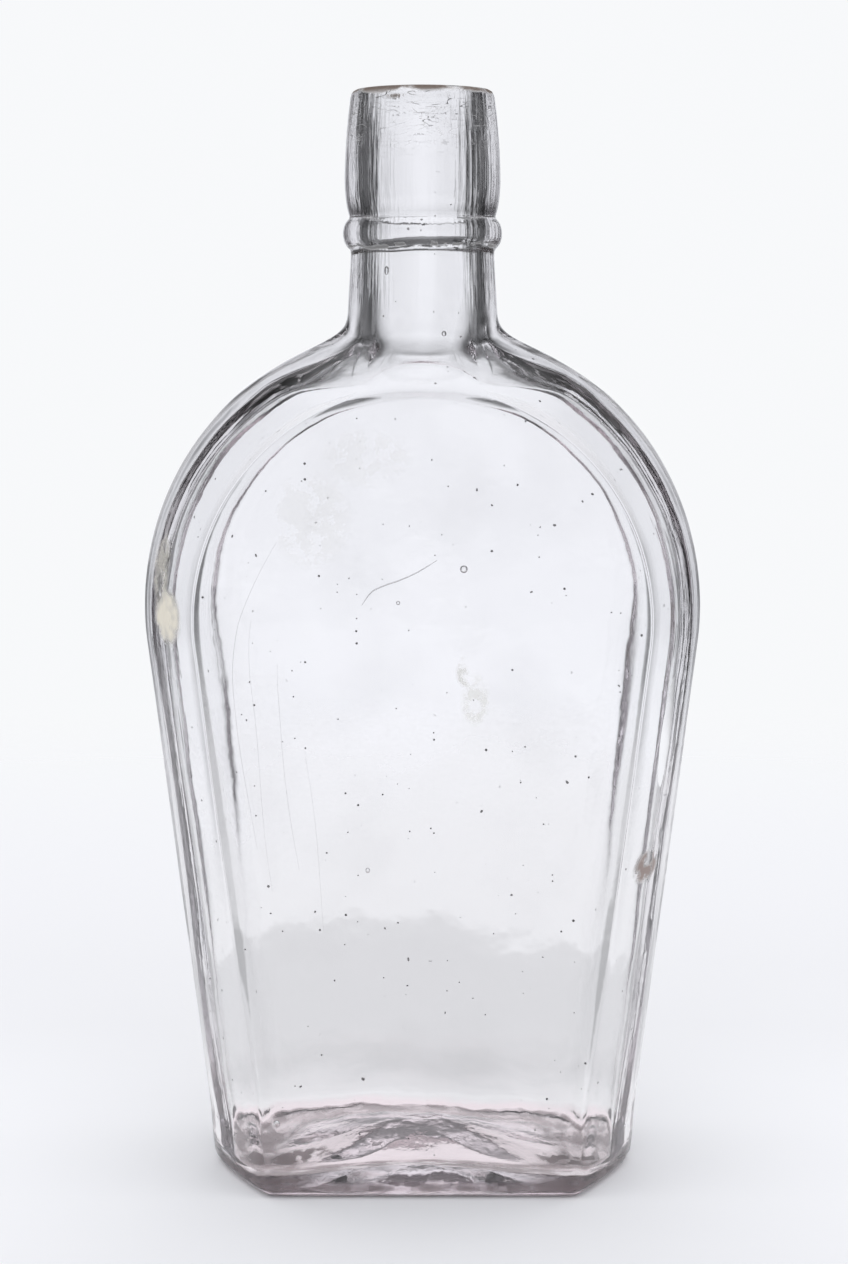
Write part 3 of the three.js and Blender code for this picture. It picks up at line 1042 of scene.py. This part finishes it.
def studio_world():
    """White screens for glass and gloss, a backdrop for the camera, and even light for the rest."""
    world = bpy.data.worlds.new("studio")
    tree = emptied_tree(world)
    direction = node(tree, "ShaderNodeTexCoord").outputs["Generated"]
    parts = axes(tree, direction)
    screens = product(tree, screen_level(tree, direction), eased(tree, parts["Z"], *SCREEN_TOP))
    level = combine(tree, "MAXIMUM", screens, eased(tree, parts["Z"], *CEILING))
    level = product(tree, level, eased(tree, parts["Y"], *FRONT_SCREEN))
    rays = node(tree, "ShaderNodeLightPath").outputs
    plain = mixed(tree, rays["Is Camera Ray"], LAMP_WHITE, BACKDROP_WHITE)
    bent = combine(tree, "MAXIMUM", rays["Is Glossy Ray"], rays["Is Transmission Ray"])
    colour = mixed(tree, bent, plain, mixed(tree, level, BLACK, STUDIO_WHITE))
    background = node(tree, "ShaderNodeBackground", {"Color": colour})
    node(tree, "ShaderNodeOutputWorld", {"Surface": background.outputs[0]})
    bpy.context.scene.world = world


def level_through_glass(tree, place, reach):
    """Painted brightness of the stage floor for rays that come through glass: light under the flask, shade
    away from the screens, beside the flask and where it is seen steeply.
    """
    far = eased(tree, length(tree, place), *SCREENED_REACH)
    screened = product(tree, eased(tree, screen_level(tree, place), *SCREENED_STEP), far)
    across = combine(tree, "ABSOLUTE", axes(tree, place)["X"])
    beside = product(tree, eased(tree, across, *BESIDE_STEP), eased(tree, reach, *BESIDE_REACH))
    facing = node(tree, "ShaderNodeLayerWeight").outputs["Facing"]
    steep = product(tree, eased(tree, facing, *STEEP_STEP), eased(tree, reach, *STEEP_REACH))
    shade = combine(tree, "MAXIMUM", screened, beside)
    return product(tree, ramp(tree, reach, STAGE_THROUGH), remainder(tree, shade), remainder(tree, steep))


def floor_material():
    """A pale floor with painted light and shade: lighter near the flask, and for rays that come through
    glass its own painted brightness and a painted glow; clear at its edge.
    """
    material = bpy.data.materials.new("pale_floor")
    tree = emptied_tree(material)
    place = node(tree, "ShaderNodeTexCoord").outputs["Object"]
    reach = length(tree, scaled(tree, place, STAGE_SQUEEZE))
    bent = node(tree, "ShaderNodeLightPath").outputs["Is Transmission Ray"]
    level = mixed(tree, bent, ramp(tree, reach, STAGE_OPEN), level_through_glass(tree, place, reach))
    colour = mixed(tree, 1, level, STAGE_TINT, "MULTIPLY")
    matt = node(tree, "ShaderNodeBsdfDiffuse", {"Color": colour}).outputs[0]
    # Painted glow: for rays through glass the floor also emits its own colour, most under the flask
    glow = node(tree, "ShaderNodeEmission", {"Color": colour}).outputs[0]
    lit = mixed_shaders(tree, product(tree, bent, eased(tree, reach, *STAGE_GLOW)), matt, glow)
    centred = node(tree, "ShaderNodeVectorMath", {0: place, 1: STAGE_CENTRE}, operation="SUBTRACT")
    edge = eased(tree, length(tree, centred.outputs[0]), *STAGE_FADE)
    clear = node(tree, "ShaderNodeBsdfTransparent").outputs[0]
    node(tree, "ShaderNodeOutputMaterial", {"Surface": mixed_shaders(tree, edge, lit, clear)})
    return material


def add_flask():
    mesh = glass_mesh()
    mesh.materials.append(glass_material())
    flask = bpy.data.objects.new("flask_glass", mesh)
    bpy.context.scene.collection.objects.link(flask)
    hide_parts("flask_body", "applied_lip")
    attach(flask, "root")


def add_floor():
    angles = np.linspace(0, 2 * math.pi, STAGE_STEPS, endpoint=False)
    ring = np.column_stack((np.cos(angles), np.sin(angles), 0 * angles)) * STAGE_RADIUS + STAGE_CENTRE
    mesh = bpy.data.meshes.new("floor")
    mesh.from_pydata(ring.tolist(), [], [tuple(range(len(ring)))])
    mesh.materials.append(floor_material())
    floor = bpy.data.objects.new("floor", mesh)
    floor.location.z = -STAGE_DROP
    bpy.context.scene.collection.objects.link(floor)


def add_camera():
    data = bpy.data.cameras.new("camera")
    data.lens = LENS
    data.sensor_fit = "VERTICAL"
    data.sensor_height = SENSOR_HEIGHT
    camera = bpy.data.objects.new("camera", data)
    camera.location = EYE
    camera.rotation_euler = (AIM - EYE).to_track_quat("-Z", "Y").to_euler()
    bpy.context.scene.collection.objects.link(camera)
    bpy.context.scene.camera = camera


def set_render():
    scene = bpy.context.scene
    scene.view_settings.view_transform = "Standard"
    scene.cycles.max_bounces = GLASS_BOUNCES
    scene.cycles.transmission_bounces = GLASS_BOUNCES
    scene.cycles.glossy_bounces = OTHER_BOUNCES
    scene.cycles.transparent_max_bounces = OTHER_BOUNCES


add_flask()
add_floor()
studio_world()
add_camera()
set_render()
